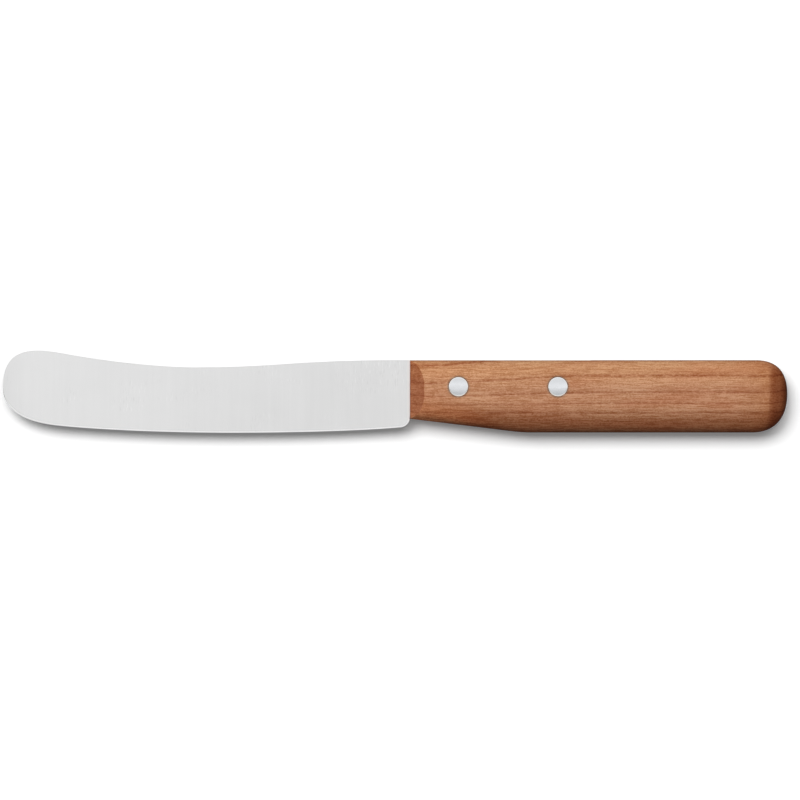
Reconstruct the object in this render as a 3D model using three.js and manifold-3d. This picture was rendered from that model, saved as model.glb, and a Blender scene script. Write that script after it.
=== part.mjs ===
// Breakfast knife: a thin ground blade with a half tang, let into a one-piece wooden handle and
// held by two press rivets. Millimetres. The knife lies on its side: +X from tip to butt,
// +Y towards the spine, +Z up through the blade's faces.
import * as THREE from 'three';
import { mergeVertices } from 'three/addons/utils/BufferGeometryUtils.js';
import Module from 'manifold-3d';

const wasm = await Module();
wasm.setup();

// Blade outline. Reaches run forward from the handle, setbacks run back from the tip, and
// drops run down from the line of the handle's spine.
const BLADE_LENGTH = 117;
const WAIST_REACH = 62;
const WAIST_DROP = 2.1;
const SHOULDER_SETBACK = 18;
const SHOULDER_RISE = 1.8;
const SHOULDER_SLOPE = 0.187;
const NOSE_DROP = 7.6;
const TOE_SETBACK = 16;
const TOE_DROP = 18.8;
const TOE_SLOPE = 0.1;
const BELLY_REACH = 50.4;
const BELLY_DROP = 20.85;
const HEEL_DROP = 19.3;
const HEEL_SLOPE = 0.088;
const HEEL_RADIUS = 2.8;

// How far each end of an outline curve holds its direction, as a share of the curve's span.
const SPINE_HOLD = { handle: 0.56, waistBehind: 0.41, waistAhead: 0.19, shoulder: 0.4 };
const CROWN_HOLD = { shoulder: 0.5, nose: 1.25 };
const EDGE_HOLD = { heel: 0.32, bellyBehind: 0.18, bellyAhead: 0.41, toe: 0.22 };
const CHIN_HOLD = { toe: 0.46, nose: 0.72 };

// Blade section: the spine thins towards the tip, and the faces are ground down to the edge, from
// a run-out by the handle. Eased spine and cutting bevel each take a share of a small section at most.
const BLADE_THICKNESS = 1.4;
const TIP_THICKNESS = 0.7;
const BEVEL_WIDTH = 0.7;
const BEVEL_THICKNESS = 0.3;
const EDGE_THICKNESS = 0.06;
const SPINE_EASE = 0.12;
const GRIND_ROUNDNESS = 1.4;
const GRIND_RUNOUT = 12;
const WORKED_EDGE_SHARE = 0.3;

// Handle
const HANDLE_LENGTH = 108.6;
const HANDLE_HEIGHT = 20.8;
const HANDLE_THICKNESS = 11.5;
const FRONT_HEIGHT = 16.85;
const FRONT_SLOPE_RUN = 32.3;
const FRONT_SLOPE_BLEND = 3;
const FRONT_FACE_THICKNESS = 3.4;
const FRONT_CHAMFER_ANGLE = 45;
const SECTION_ROUNDNESS = 2.25;
const SIDE_LAND_HEIGHT = 5;
const BUTT_SPINE_ROUND = 9;
const BUTT_BELLY_ROUND = 10.1;
const BUTT_NOSE_DROP = 9.7;
const BUTT_FULLNESS = 0.63;
const BUTT_CHAMFER = 4.05;
const BUTT_BLEND = 1.85;
const BUTT_EDGE_THICKNESS = 2.7;

// Rivets, and the tang that they pass through. The web is the wood left under the tang's slot at
// the handle's front.
const FRONT_RIVET_REACH = 14;
const RIVET_PITCH = 28.6;
const RIVET_DROP = 7.6;
const RIVET_HEAD_DIAMETER = 5.6;
const RIVET_HEAD_DEPTH = 2;
const RIVET_BARREL_DIAMETER = 4;
const RIVET_BORE_DIAMETER = 2.4;
const RIVET_BORE_END_GAP = 0.3;
const TANG_RELIEF = 0.05;
const TANG_WEB = 1.65;
const TANG_END_MARGIN = 9.4;
const TANG_END_RADIUS = 5;
const TANG_SINK = 0.1;
const TANG_ROOT = 2;

// Fits
const RIVET_CLEARANCE = 0.1;
const SLOT_CLEARANCE = 0.1;
const SHOULDER_GAP = 0.1;
const OVERCUT = 1;

// Fineness of the facets
const HEEL_STEPS = 6;
const BLADE_STEPS = 34;
const TIP_STEPS = 12;
const FACE_STEPS = 4;
const QUARTER_STEPS = 8;
const BLEND_STEPS = 4;
const BUTT_STEPS = 12;
const ROUND_STEPS = 32;
const HALF_STEP = 0.5;
const BISECTIONS = 40;

// Values that follow from the ones above
const halfThickness = HANDLE_THICKNESS / 2;
const halfHeight = HANDLE_HEIGHT / 2;
const rivetReaches = { front: FRONT_RIVET_REACH, rear: FRONT_RIVET_REACH + RIVET_PITCH };
const tangLength = rivetReaches.rear + TANG_END_MARGIN;
const tangHeight = FRONT_HEIGHT - TANG_WEB;
const tangThickness = BLADE_THICKNESS - 2 * TANG_RELIEF;
const rivetSeat = halfThickness - RIVET_HEAD_DEPTH;

// Solids

// A closed geometry as a solid that can be joined and cut.
function solidOf(geometry) {
  geometry.deleteAttribute('normal');
  geometry.deleteAttribute('uv');
  const merged = mergeVertices(geometry);
  const triangles = [];
  for (let i = 0; i < merged.index.count; i += 3) {
    const corners = [0, 1, 2].map((k) => merged.index.getX(i + k));
    if (new Set(corners).size === corners.length) triangles.push(...corners);
  }
  const vertProperties = new Float32Array(merged.attributes.position.array);
  const triVerts = new Uint32Array(triangles);
  return new wasm.Manifold(new wasm.Mesh({ numProp: 3, vertProperties, triVerts }));
}

function geometryOf(solid) {
  const { vertProperties, triVerts } = solid.getMesh();
  const geometry = new THREE.BufferGeometry();
  geometry.setAttribute('position', new THREE.BufferAttribute(vertProperties, 3));
  geometry.setIndex(new THREE.BufferAttribute(triVerts, 1));
  const faceted = geometry.toNonIndexed();
  faceted.computeVertexNormals();
  return faceted;
}

// A skin over a row of convex rings with equally many points, closed by a fan at each end.
// The rings follow one another along +X and turn from +Y to +Z.
function loft(rings) {
  const count = rings[0].length;
  const index = [];
  for (let ring = 0; ring + 1 < rings.length; ring += 1) {
    for (let i = 0; i < count; i += 1) {
      const a = ring * count + i;
      const b = ring * count + ((i + 1) % count);
      index.push(a, b, b + count, a, b + count, a + count);
    }
  }
  const last = (rings.length - 1) * count;
  for (let i = 1; i + 1 < count; i += 1) {
    index.push(0, i + 1, i);
    index.push(last, last + i, last + i + 1);
  }
  const geometry = new THREE.BufferGeometry().setFromPoints(rings.flat());
  geometry.setIndex(index);
  return geometry;
}

// A flat outline in X and Y, made a plate of the given thickness about the blade's middle plane.
function plate(shape, thickness) {
  const geometry = new THREE.ExtrudeGeometry(shape, {
    depth: thickness,
    bevelEnabled: false,
    curveSegments: QUARTER_STEPS,
  });
  return solidOf(geometry.translate(0, 0, -thickness / 2));
}

// A turned piece that stands upright on a rivet's axis, from a half outline of radius and height.
function turned(reach, points) {
  const outline = points.map(([radius, height]) => new THREE.Vector2(radius, height));
  const geometry = new THREE.LatheGeometry(outline, ROUND_STEPS).rotateX(Math.PI / 2);
  return solidOf(geometry.translate(reach, -RIVET_DROP, 0));
}

// Outlines

// The height of an outline at x. The outline runs steadily along X, either way.
function heightAt(path, x) {
  const spans = (curve) => (curve.getPoint(0).x - x) * (curve.getPoint(1).x - x) <= 0;
  const curve = path.curves.find(spans);
  const rising = curve.getPoint(1).x > curve.getPoint(0).x;
  let low = 0;
  let high = 1;
  for (let i = 0; i < BISECTIONS; i += 1) {
    const middle = (low + high) / 2;
    if (curve.getPoint(middle).x < x === rising) low = middle;
    else high = middle;
  }
  return curve.getPoint(low).y;
}

// Places from `from` to `to` that crowd together at `to`, where the outline turns upright. The
// last place stops half a step short, where the outline still has some height.
function crowded(from, to, steps) {
  const places = [];
  for (let i = 0; i < steps; i += 1) {
    const angle = (i / (steps - HALF_STEP)) * (Math.PI / 2);
    places.push(from + (to - from) * Math.sin(angle));
  }
  return places;
}

function evenly(from, to, steps) {
  return Array.from({ length: steps }, (_, i) => from + ((to - from) * i) / steps);
}

// Blade

function spineLine() {
  const nose = -BLADE_LENGTH;
  const waist = -WAIST_REACH;
  const shoulder = nose + SHOULDER_SETBACK;
  const climb = waist - shoulder;
  const hold = SPINE_HOLD.shoulder * climb;
  const crown = CROWN_HOLD.shoulder * SHOULDER_SETBACK;
  const noseHold = CROWN_HOLD.nose * (SHOULDER_RISE + NOSE_DROP);
  return new THREE.Path()
    .moveTo(0, 0)
    .bezierCurveTo(
      SPINE_HOLD.handle * waist, 0,
      waist * (1 - SPINE_HOLD.waistBehind), -WAIST_DROP,
      waist, -WAIST_DROP,
    )
    .bezierCurveTo(
      waist - SPINE_HOLD.waistAhead * climb, -WAIST_DROP,
      shoulder + hold, SHOULDER_RISE - hold * SHOULDER_SLOPE,
      shoulder, SHOULDER_RISE,
    )
    .bezierCurveTo(
      shoulder - crown, SHOULDER_RISE + crown * SHOULDER_SLOPE,
      nose, noseHold - NOSE_DROP,
      nose, -NOSE_DROP,
    );
}

function edgeLine() {
  const nose = -BLADE_LENGTH;
  const belly = -BELLY_REACH;
  const toe = nose + TOE_SETBACK;
  const heel = -HEEL_RADIUS;
  const heelHold = EDGE_HOLD.heel * (heel - belly);
  const sweep = belly - toe;
  const toeHold = EDGE_HOLD.toe * sweep;
  const chin = CHIN_HOLD.toe * TOE_SETBACK;
  const noseHold = CHIN_HOLD.nose * (TOE_DROP - NOSE_DROP);
  return new THREE.Path()
    .moveTo(0, HEEL_RADIUS - HEEL_DROP)
    .absarc(heel, HEEL_RADIUS - HEEL_DROP, HEEL_RADIUS, 0, -Math.PI / 2, true)
    .bezierCurveTo(
      heel - heelHold, -HEEL_DROP - heelHold * HEEL_SLOPE,
      belly + EDGE_HOLD.bellyBehind * (heel - belly), -BELLY_DROP,
      belly, -BELLY_DROP,
    )
    .bezierCurveTo(
      belly - EDGE_HOLD.bellyAhead * sweep, -BELLY_DROP,
      toe + toeHold, -TOE_DROP - toeHold * TOE_SLOPE,
      toe, -TOE_DROP,
    )
    .bezierCurveTo(
      toe - chin, -TOE_DROP + chin * TOE_SLOPE,
      nose, -NOSE_DROP - noseHold,
      nose, -NOSE_DROP,
    );
}

// One section of the ground blade: down the upper face from spine to edge, and back up the lower.
function bladeRing(x, spine, edge) {
  const top = heightAt(spine, x);
  const bottom = heightAt(edge, x);
  const room = WORKED_EDGE_SHARE * (top - bottom);
  const ease = Math.min(SPINE_EASE, room);
  const bevel = Math.min(BEVEL_WIDTH, room);
  const full = THREE.MathUtils.lerp(BLADE_THICKNESS, TIP_THICKNESS, -x / BLADE_LENGTH) / 2;
  const runout = THREE.MathUtils.smoothstep(-x, 0, GRIND_RUNOUT);
  const ground = (thickness) => THREE.MathUtils.lerp(full, thickness / 2, runout);
  const face = [new THREE.Vector3(x, top, full - SPINE_EASE)];
  for (let i = 0; i <= FACE_STEPS; i += 1) {
    const share = i / FACE_STEPS;
    const y = THREE.MathUtils.lerp(top - ease, bottom + bevel, share);
    const z = THREE.MathUtils.lerp(full, ground(BEVEL_THICKNESS), share ** GRIND_ROUNDNESS);
    face.push(new THREE.Vector3(x, y, z));
  }
  face.push(new THREE.Vector3(x, bottom, ground(EDGE_THICKNESS) - SPINE_EASE * (1 - runout)));
  const back = face.map((p) => new THREE.Vector3(p.x, p.y, -p.z)).reverse();
  return [...back, ...face];
}

// The flat tang, or with some clearance all round, the slot for it.
function tangShape(front, top, clearance) {
  const end = tangLength + clearance;
  const bottom = -tangHeight - clearance;
  const radius = TANG_END_RADIUS + clearance;
  return new THREE.Shape()
    .moveTo(front, bottom)
    .lineTo(end - radius, bottom)
    .absarc(end - radius, bottom + radius, radius, -Math.PI / 2, 0)
    .lineTo(end, top)
    .lineTo(front, top)
    .closePath();
}

function buildBlade() {
  const spine = spineLine();
  const edge = edgeLine();
  const tipStart = -BLADE_LENGTH + SHOULDER_SETBACK;
  const heel = crowded(-HEEL_RADIUS, 0, HEEL_STEPS).reverse();
  const places = [
    0,
    ...heel,
    ...evenly(-HEEL_RADIUS, tipStart, BLADE_STEPS).slice(1),
    ...crowded(tipStart, -BLADE_LENGTH, TIP_STEPS),
  ];
  const rings = places.reverse().map((x) => bladeRing(x, spine, edge));
  const tang = plate(tangShape(-TANG_ROOT, -TANG_SINK, 0), tangThickness);
  const drill = (blade, reach) => blade.subtract(rivetShaft(reach));
  return Object.values(rivetReaches).reduce(drill, solidOf(loft(rings)).add(tang));
}

// Handle

function handleSpineLine() {
  const turn = HANDLE_LENGTH - BUTT_SPINE_ROUND;
  return new THREE.Path()
    .moveTo(SHOULDER_GAP, 0)
    .lineTo(turn, 0)
    .bezierCurveTo(
      turn + BUTT_FULLNESS * BUTT_SPINE_ROUND, 0,
      HANDLE_LENGTH, -BUTT_NOSE_DROP * (1 - BUTT_FULLNESS),
      HANDLE_LENGTH, -BUTT_NOSE_DROP,
    );
}

function handleBellyLine() {
  const turn = HANDLE_LENGTH - BUTT_BELLY_ROUND;
  const slope = (HANDLE_HEIGHT - FRONT_HEIGHT) / FRONT_SLOPE_RUN;
  const rise = HANDLE_HEIGHT - BUTT_NOSE_DROP;
  return new THREE.Path()
    .moveTo(SHOULDER_GAP, -FRONT_HEIGHT - SHOULDER_GAP * slope)
    .lineTo(FRONT_SLOPE_RUN - FRONT_SLOPE_BLEND, FRONT_SLOPE_BLEND * slope - HANDLE_HEIGHT)
    .quadraticCurveTo(
      FRONT_SLOPE_RUN, -HANDLE_HEIGHT,
      FRONT_SLOPE_RUN + FRONT_SLOPE_BLEND, -HANDLE_HEIGHT,
    )
    .lineTo(turn, -HANDLE_HEIGHT)
    .bezierCurveTo(
      turn + BUTT_FULLNESS * BUTT_BELLY_ROUND, -HANDLE_HEIGHT,
      HANDLE_LENGTH, -BUTT_NOSE_DROP - BUTT_FULLNESS * rise,
      HANDLE_LENGTH, -BUTT_NOSE_DROP,
    );
}

// Half the handle's thickness along its length, drawn in at the butt. X runs along the handle.
function handleSideLine() {
  const corner = HANDLE_LENGTH - BUTT_CHAMFER;
  return new THREE.Path()
    .moveTo(SHOULDER_GAP, halfThickness)
    .lineTo(corner - BUTT_BLEND, halfThickness)
    .quadraticCurveTo(corner, halfThickness, HANDLE_LENGTH, BUTT_EDGE_THICKNESS / 2);
}

// The handle's oval section at unit size: a rounded oval with a narrow flat land on each side.
function unitSection() {
  const land = SIDE_LAND_HEIGHT / HANDLE_HEIGHT;
  const power = 2 / SECTION_ROUNDNESS;
  const width = (1 - land ** SECTION_ROUNDNESS) ** (1 / SECTION_ROUNDNESS);
  const start = Math.asin(land ** (1 / power));
  const quarter = Array.from({ length: QUARTER_STEPS }, (_, i) => {
    const angle = THREE.MathUtils.lerp(Math.PI / 2, start, (i + 1) / QUARTER_STEPS);
    return new THREE.Vector2(Math.sin(angle) ** power, Math.cos(angle) ** power / width);
  });
  const mirrored = (y, z) => quarter.map((p) => new THREE.Vector2(p.x * y, p.y * z));
  return [
    new THREE.Vector2(1, 0),
    ...quarter,
    ...mirrored(-1, 1).reverse(),
    new THREE.Vector2(-1, 0),
    ...mirrored(-1, -1),
    ...mirrored(1, -1).reverse(),
  ];
}

// The handle's outside before it is chamfered, slotted and drilled.
function handleBody() {
  const spine = handleSpineLine();
  const belly = handleBellyLine();
  const side = handleSideLine();
  const section = unitSection();
  const buttStart = HANDLE_LENGTH - BUTT_BELLY_ROUND;
  const blendStart = FRONT_SLOPE_RUN - FRONT_SLOPE_BLEND;
  const blendEnd = FRONT_SLOPE_RUN + FRONT_SLOPE_BLEND;
  const places = [
    SHOULDER_GAP,
    ...evenly(blendStart, blendEnd, BLEND_STEPS),
    blendEnd,
    ...crowded(buttStart, HANDLE_LENGTH, BUTT_STEPS),
  ];
  const rings = places.map((x) => {
    const top = heightAt(spine, x);
    const bottom = heightAt(belly, x);
    const middle = (top + bottom) / 2;
    const height = (top - bottom) / 2;
    const width = heightAt(side, x);
    return section.map((p) => new THREE.Vector3(x, middle + p.x * height, p.y * width));
  });
  return solidOf(loft(rings));
}

// The room between the two slanted facets at the handle's front, seen from the spine.
function frontFacets() {
  const face = FRONT_FACE_THICKNESS / 2;
  const run = HANDLE_THICKNESS;
  const wide = face + run * Math.tan(THREE.MathUtils.degToRad(FRONT_CHAMFER_ANGLE));
  const end = HANDLE_LENGTH + OVERCUT;
  const tall = 2 * HANDLE_HEIGHT;
  const outline = new THREE.Shape()
    .moveTo(SHOULDER_GAP, -face)
    .lineTo(SHOULDER_GAP + run, -wide)
    .lineTo(end, -wide)
    .lineTo(end, wide)
    .lineTo(SHOULDER_GAP + run, wide)
    .lineTo(SHOULDER_GAP, face)
    .closePath();
  const prism = new THREE.ExtrudeGeometry(outline, { depth: tall, bevelEnabled: false });
  return solidOf(prism.rotateX(Math.PI / 2).translate(0, halfHeight, 0));
}

function buildHandle(body) {
  const slotShape = tangShape(-OVERCUT, OVERCUT, SLOT_CLEARANCE);
  const slot = plate(slotShape, tangThickness + 2 * SLOT_CLEARANCE);
  const drill = (handle, reach) => handle.subtract(rivetShaft(reach)).subtract(rivetSeats(reach));
  return Object.values(rivetReaches).reduce(drill, body.intersect(frontFacets()).subtract(slot));
}

// Rivets

// The straight hole that a rivet's barrel passes through.
function rivetShaft(reach) {
  const radius = RIVET_BARREL_DIAMETER / 2 + RIVET_CLEARANCE;
  const end = halfThickness + OVERCUT;
  return turned(reach, [[0, -end], [radius, -end], [radius, end], [0, end]]);
}

// The two wider seats that its heads are sunk in.
function rivetSeats(reach) {
  const radius = RIVET_HEAD_DIAMETER / 2 + RIVET_CLEARANCE;
  const end = halfThickness + OVERCUT;
  const upper = turned(reach, [[0, rivetSeat], [radius, rivetSeat], [radius, end], [0, end]]);
  const lower = turned(reach, [[0, -end], [radius, -end], [radius, -rivetSeat], [0, -rivetSeat]]);
  return upper.add(lower);
}

// The hollow half, with its head on the lower side, ground flush with the handle's body.
function buildRivetTube(reach, body) {
  const head = RIVET_HEAD_DIAMETER / 2;
  const barrel = RIVET_BARREL_DIAMETER / 2;
  const bore = RIVET_BORE_DIAMETER / 2;
  const under = -rivetSeat - RIVET_CLEARANCE;
  const outside = -halfThickness - OVERCUT;
  return turned(reach, [
    [0, outside],
    [head, outside],
    [head, under],
    [barrel, under],
    [barrel, rivetSeat],
    [bore, rivetSeat],
    [bore, -rivetSeat],
    [0, -rivetSeat],
  ]).intersect(body);
}

// The solid half, with its head on the upper side and its post in the barrel.
function buildRivetPost(reach, body) {
  const head = RIVET_HEAD_DIAMETER / 2;
  const post = RIVET_BORE_DIAMETER / 2 - RIVET_CLEARANCE;
  const under = rivetSeat + RIVET_CLEARANCE;
  const outside = halfThickness + OVERCUT;
  const end = RIVET_BORE_END_GAP - rivetSeat;
  return turned(reach, [
    [0, end],
    [post, end],
    [post, under],
    [head, under],
    [head, outside],
    [0, outside],
  ]).intersect(body);
}

// Assembly

function piece(name, solid, color, roughness, metalness) {
  const material = new THREE.MeshStandardMaterial({ color, roughness, metalness });
  const mesh = new THREE.Mesh(geometryOf(solid), material);
  mesh.name = name;
  return mesh;
}

const STEEL = [0xd8d9d8, 0.35, 1];
const CHERRY = [0xb67f5e, 0.55, 0];
const ALUMINIUM = [0xdfe2e6, 0.3, 1];

const body = handleBody();
const knife = new THREE.Group();
knife.add(piece('blade', buildBlade(), ...STEEL));
knife.add(piece('handle', buildHandle(body), ...CHERRY));
for (const [place, reach] of Object.entries(rivetReaches)) {
  knife.add(piece(`${place}_rivet_tube`, buildRivetTube(reach, body), ...ALUMINIUM));
  knife.add(piece(`${place}_rivet_post`, buildRivetPost(reach, body), ...ALUMINIUM));
}

// The origin is under the middle of the knife, on the surface that it lies on.
const bounds = new THREE.Box3().setFromObject(knife);
const centre = bounds.getCenter(new THREE.Vector3());
knife.position.set(-centre.x, -centre.y, -bounds.min.z);

const part = new THREE.Group();
part.add(knife);

export default part;
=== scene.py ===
"""Breakfast knife: a satin steel blade in a one-piece oiled cherry handle, held by two aluminium rivets.

The knife lies on its side on a white table, tip to the left, and is seen from straight above. The maker's
own frame of the knife has x = 0 where the blade comes out of the handle, y = 0 on the handle's spine and
z = 0 on the middle plane of the blade. The meshes are made in that frame, in metres, and then moved to the
place of the CAD part. The finishes are drawn in the same frame, in millimetres.
"""
import logging
import math
from dataclasses import dataclass
from enum import Enum
from typing import Iterable, Optional, Sequence, Union

import bmesh
import bpy
from mathutils import Matrix, Vector


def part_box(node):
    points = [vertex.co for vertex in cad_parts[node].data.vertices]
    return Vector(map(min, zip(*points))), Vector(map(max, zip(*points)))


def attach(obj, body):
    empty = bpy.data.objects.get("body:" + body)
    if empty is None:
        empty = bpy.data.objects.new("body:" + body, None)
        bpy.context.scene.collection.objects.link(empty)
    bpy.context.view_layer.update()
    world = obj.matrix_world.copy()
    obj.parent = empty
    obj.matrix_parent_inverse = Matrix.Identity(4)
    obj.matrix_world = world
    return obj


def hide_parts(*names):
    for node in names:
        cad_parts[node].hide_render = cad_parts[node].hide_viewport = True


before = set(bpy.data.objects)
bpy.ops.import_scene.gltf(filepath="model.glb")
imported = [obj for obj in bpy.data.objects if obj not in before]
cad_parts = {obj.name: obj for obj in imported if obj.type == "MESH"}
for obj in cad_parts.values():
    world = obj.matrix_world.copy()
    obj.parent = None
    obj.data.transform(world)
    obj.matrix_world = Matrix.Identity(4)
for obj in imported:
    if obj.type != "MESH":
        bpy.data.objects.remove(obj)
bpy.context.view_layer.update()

LOG = logging.getLogger("breakfast_knife")
MM = 0.001
MERGE = 0.0005 * MM
SHARP_ANGLE = math.radians(30)
QUAD_CORNERS = 4
BODY = "root"
RIVET_REACHES = (14.0 * MM, 42.6 * MM)
RIVET_DROP = 7.6 * MM

# Numbers of the colour sockets of Blender's Mix node, whose names aren't unique
MIX_FIRST = 6
MIX_SECOND = 7
MIX_RESULT = 2

Piece = bpy.types.Object
Socket = bpy.types.NodeSocket
Vert = bmesh.types.BMVert
Point = tuple[float, float]
Pair = tuple[float, float]
Colour = tuple[float, float, float]
Number = Union[float, Socket]
Paint = Union[Colour, Socket]


class Slot(Enum):
    """The material slots of the part's record."""

    STEEL = "steel"
    CHERRY = "cherry"
    ALUMINIUM = "aluminium"


class Side(Enum):
    """Which face of the handle a rivet half has its head on, as the sign of z."""

    UPPER = 1
    LOWER = -1


class Cut(Enum):
    """What a tool does to the piece that it is put into."""

    REMOVE = "DIFFERENCE"
    JOIN = "UNION"


def grey(level: float) -> Colour:
    """A neutral colour of the given level."""
    return (level, level, level)


WHITE = grey(1.0)


def lerp(start: float, end: float, share: float) -> float:
    """The value that lies the given share of the way from start to end."""
    return start + (end - start) * share


def smoothstep(value: float, low: float, high: float) -> float:
    """An even rise from 0 at low to 1 at high."""
    share = min(max((value - low) / (high - low), 0.0), 1.0)
    return share * share * (3 - 2 * share)


def evenly(start: float, end: float, steps: int) -> list[float]:
    """Places from start up to end, without end itself."""
    return [lerp(start, end, i / steps) for i in range(steps)]


def crowded(start: float, end: float, steps: int) -> list[float]:
    """Places that crowd together at end, where an outline turns upright. The last stops half a step short."""
    quarter = math.pi / 2
    return [lerp(start, end, math.sin(quarter * i / (steps - 0.5))) for i in range(steps)]


class Bezier:
    """A plane Bezier curve of any degree. Two points make it a straight line."""

    def __init__(self, *points: Sequence[float]) -> None:
        """Keeps the curve's points."""
        self.points = points

    def at(self, share: float) -> Vector:
        """Finds a point of the curve.

        Args:
            share: How far along the curve it lies, from 0 to 1.

        Returns:
            The point.
        """
        row = [Vector(point) for point in self.points]
        while len(row) > 1:
            row = [a.lerp(b, share) for a, b in zip(row, row[1:])]
        return row[0]


def eased(start: Point, end: Point, holds: Pair, slopes: Pair = (0.0, 0.0)) -> Bezier:
    """Draws a smooth curve between two points.

    Args:
        start: The first point.
        end: The last point.
        holds: For which shares of the way it holds its first and its last direction.
        slopes: These directions, as slopes. An infinite slope is upright.

    Returns:
        The curve.
    """
    way = Vector(end) - Vector(start)
    first, last = (Vector((0, way.y) if math.isinf(slope) else (way.x, way.x * slope)) for slope in slopes)
    return Bezier(start, Vector(start) + first * holds[0], Vector(end) - last * holds[1], end)


@dataclass(frozen=True)
class Arc:
    """A plane arc from one angle to another, in radians."""

    centre: Point
    radius: float
    start: float
    end: float

    def at(self, share: float) -> Vector:
        """The point that lies the given share of the way along the arc."""
        angle = lerp(self.start, self.end, share)
        return Vector(self.centre) + self.radius * Vector((math.cos(angle), math.sin(angle)))


class Outline:
    """A line of curves that runs steadily along x, either way."""

    bisections: int = 40

    def __init__(self, *curves: Union[Bezier, Arc]) -> None:
        """Keeps the curves, in their order along the line."""
        self.curves = curves

    def height_at(self, x: float) -> float:
        """Finds the outline's height.

        Args:
            x: The place along the outline.

        Returns:
            The height there.
        """
        spans = (curve for curve in self.curves if (curve.at(0).x - x) * (curve.at(1).x - x) <= 0)
        curve = next(spans, self.curves[-1])
        rising = curve.at(1).x > curve.at(0).x
        low, high = 0.0, 1.0
        for _ in range(self.bisections):
            middle = (low + high) / 2
            if (curve.at(middle).x < x) == rising:
                low = middle
            else:
                high = middle
        return curve.at(low).y


class Shape:
    """A mesh in the making, shaped by bmesh operators and then made an object."""

    def __init__(self) -> None:
        """Starts with nothing."""
        self.bm = bmesh.new()

    def loft(self, sections: Sequence[Sequence[Vector]]) -> list[list[Vert]]:
        """Draws a closed skin over a row of sections and closes both ends.

        Args:
            sections: Loops of equally many points.

        Returns:
            The vertices of every loop, in the order of its points.
        """
        ring = bmesh.ops.create_circle(self.bm, segments=len(sections[0]), radius=1.0)["verts"]
        rings = [ring]
        for _ in sections[1:]:
            edges = [self.bm.edges.get(pair) for pair in zip(ring, ring[1:] + ring[:1])]
            made = set(bmesh.ops.extrude_edge_only(self.bm, edges=edges)["geom"])
            ring = [next(e.other_vert(v) for e in v.link_edges if e.other_vert(v) in made) for v in ring]
            rings.append(ring)
        for ring, points in zip(rings, sections):
            for vert, point in zip(ring, points):
                vert.co = point
        for end in (rings[0], rings[-1]):
            bmesh.ops.contextual_create(self.bm, geom=end)
        return rings

    def turned(self, profile: Sequence[Point], steps: int) -> None:
        """Turns a half outline about the z axis.

        Args:
            profile: Radius and height of each corner. It starts and ends on the axis.
            steps: The number of steps in the full turn.
        """
        verts = [self.bm.verts.new((radius, 0, height)) for radius, height in profile]
        edges = [self.bm.edges.new(pair) for pair in zip(verts, verts[1:])]
        bmesh.ops.spin(
            self.bm,
            geom=verts + edges,
            axis=(0, 0, 1),
            cent=(0, 0, 0),
            steps=steps,
            angle=2 * math.pi,
            use_merge=True,
        )

    def bisect(self, point: Vector, normal: Vector) -> bmesh.types.BMFace:
        """Cuts everything off on the normal's side of a plane and closes the cut.

        Args:
            point: A point of the plane.
            normal: The plane's normal.

        Returns:
            The flat face on the cut.
        """
        made = bmesh.ops.bisect_plane(
            self.bm,
            geom=[*self.bm.verts, *self.bm.edges, *self.bm.faces],
            dist=MERGE,
            plane_co=point,
            plane_no=normal,
            clear_outer=True,
        )
        rim = [item for item in made["geom_cut"] if isinstance(item, bmesh.types.BMEdge)]
        return bmesh.ops.contextual_create(self.bm, geom=rim)["faces"][0]

    def settle_flats(self) -> None:
        """Gives the large flat faces sharp outlines and cuts them into triangles."""
        flats = [face for face in self.bm.faces if len(face.verts) > QUAD_CORNERS]
        for flat in flats:
            for edge in flat.edges:
                edge.smooth = False
        bmesh.ops.triangulate(self.bm, faces=flats)

    def finished(self, name: str) -> Piece:
        """Closes, smooths and turns the mesh right side out, and makes it an object.

        Args:
            name: The object's name.

        Returns:
            The new object, at the origin.
        """
        bmesh.ops.remove_doubles(self.bm, verts=self.bm.verts, dist=MERGE)
        bmesh.ops.recalc_face_normals(self.bm, faces=self.bm.faces)
        mark_sharp(self.bm)
        mesh = bpy.data.meshes.new(name)
        self.bm.to_mesh(mesh)
        self.bm.free()
        made = bpy.data.objects.new(name, mesh)
        bpy.context.scene.collection.objects.link(made)
        return made


def mark_sharp(bm: bmesh.types.BMesh) -> None:
    """Shades a mesh smooth, apart from edges that turn sharply and those that are marked sharp already.

    Args:
        bm: The mesh.
    """
    for face in bm.faces:
        face.smooth = True
    for edge in bm.edges:
        if edge.calc_face_angle(0.0) > SHARP_ANGLE:
            edge.smooth = False


def worked(piece: Piece, tools: Sequence[tuple[Piece, Cut]]) -> Piece:
    """Cuts tools out of a piece, or joins them to it, and removes the tools.

    Args:
        piece: The piece that is worked.
        tools: Each tool, with what it does.

    Returns:
        The same piece, with its new mesh.
    """
    for tool, cut in tools:
        modifier = piece.modifiers.new(tool.name, "BOOLEAN")
        modifier.operation = cut.value
        modifier.solver = "EXACT"
        modifier.object = tool
    graph = bpy.context.evaluated_depsgraph_get()
    rough = piece.data
    piece.data = bpy.data.meshes.new_from_object(piece.evaluated_get(graph))
    piece.data.name = piece.name
    piece.modifiers.clear()
    bpy.data.meshes.remove(rough)
    for tool, _ in tools:
        bpy.data.objects.remove(tool)
    bm = bmesh.new()
    bm.from_mesh(piece.data)
    bmesh.ops.remove_doubles(bm, verts=bm.verts, dist=MERGE)
    bmesh.ops.dissolve_degenerate(bm, dist=MERGE, edges=bm.edges)
    mark_sharp(bm)
    bm.to_mesh(piece.data)
    bm.free()
    return piece


def placed(piece: Piece, origin: Vector) -> Piece:
    """Moves a piece's mesh from the maker's frame to the part's frame, where the maker's origin is given."""
    piece.data.transform(Matrix.Translation(origin))
    return piece


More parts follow.
